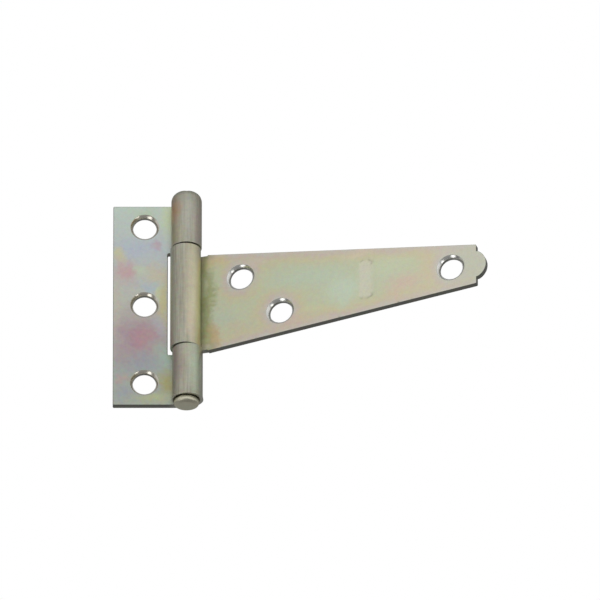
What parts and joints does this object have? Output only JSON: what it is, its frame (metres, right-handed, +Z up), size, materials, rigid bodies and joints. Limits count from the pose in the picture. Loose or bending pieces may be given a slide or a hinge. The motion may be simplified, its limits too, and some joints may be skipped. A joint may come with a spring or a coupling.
{
  "type": "t hinge",
  "caption": "T hinge for a light gate or cabinet door: a slotted butt leaf and a long tapered strap, rolled round a headed pin, with countersunk screw holes.",
  "frame": {"origin": "on the butt leaf's back face, level with its middle screw hole, and between that hole and the free edge", "axes": "+Z up along the hinge pin, +X from the butt leaf towards the strap's tip, +Y out of the butt leaf's back, into the surface it is screwed to"},
  "size_m": [0.0924, 0.0236, 0.0596],
  "materials": {
    "leaf_steel": "zinc plate with an iridescent yellow chromate",
    "pin_steel": "zinc plate with a dull chromate"
  },
  "bodies": {
    "butt": {"butt_leaf": "leaf_steel", "hinge_pin": "pin_steel"},
    "strap": {"strap_leaf": "leaf_steel"}
  },
  "joints": [
    {"name": "strap_swing", "type": "hinge", "parent": "butt", "child": "strap", "pos_m": [0.0158, -0.00408, 0], "axis": [0, 0, 1], "range_deg": [-175, 112]}
  ]
}
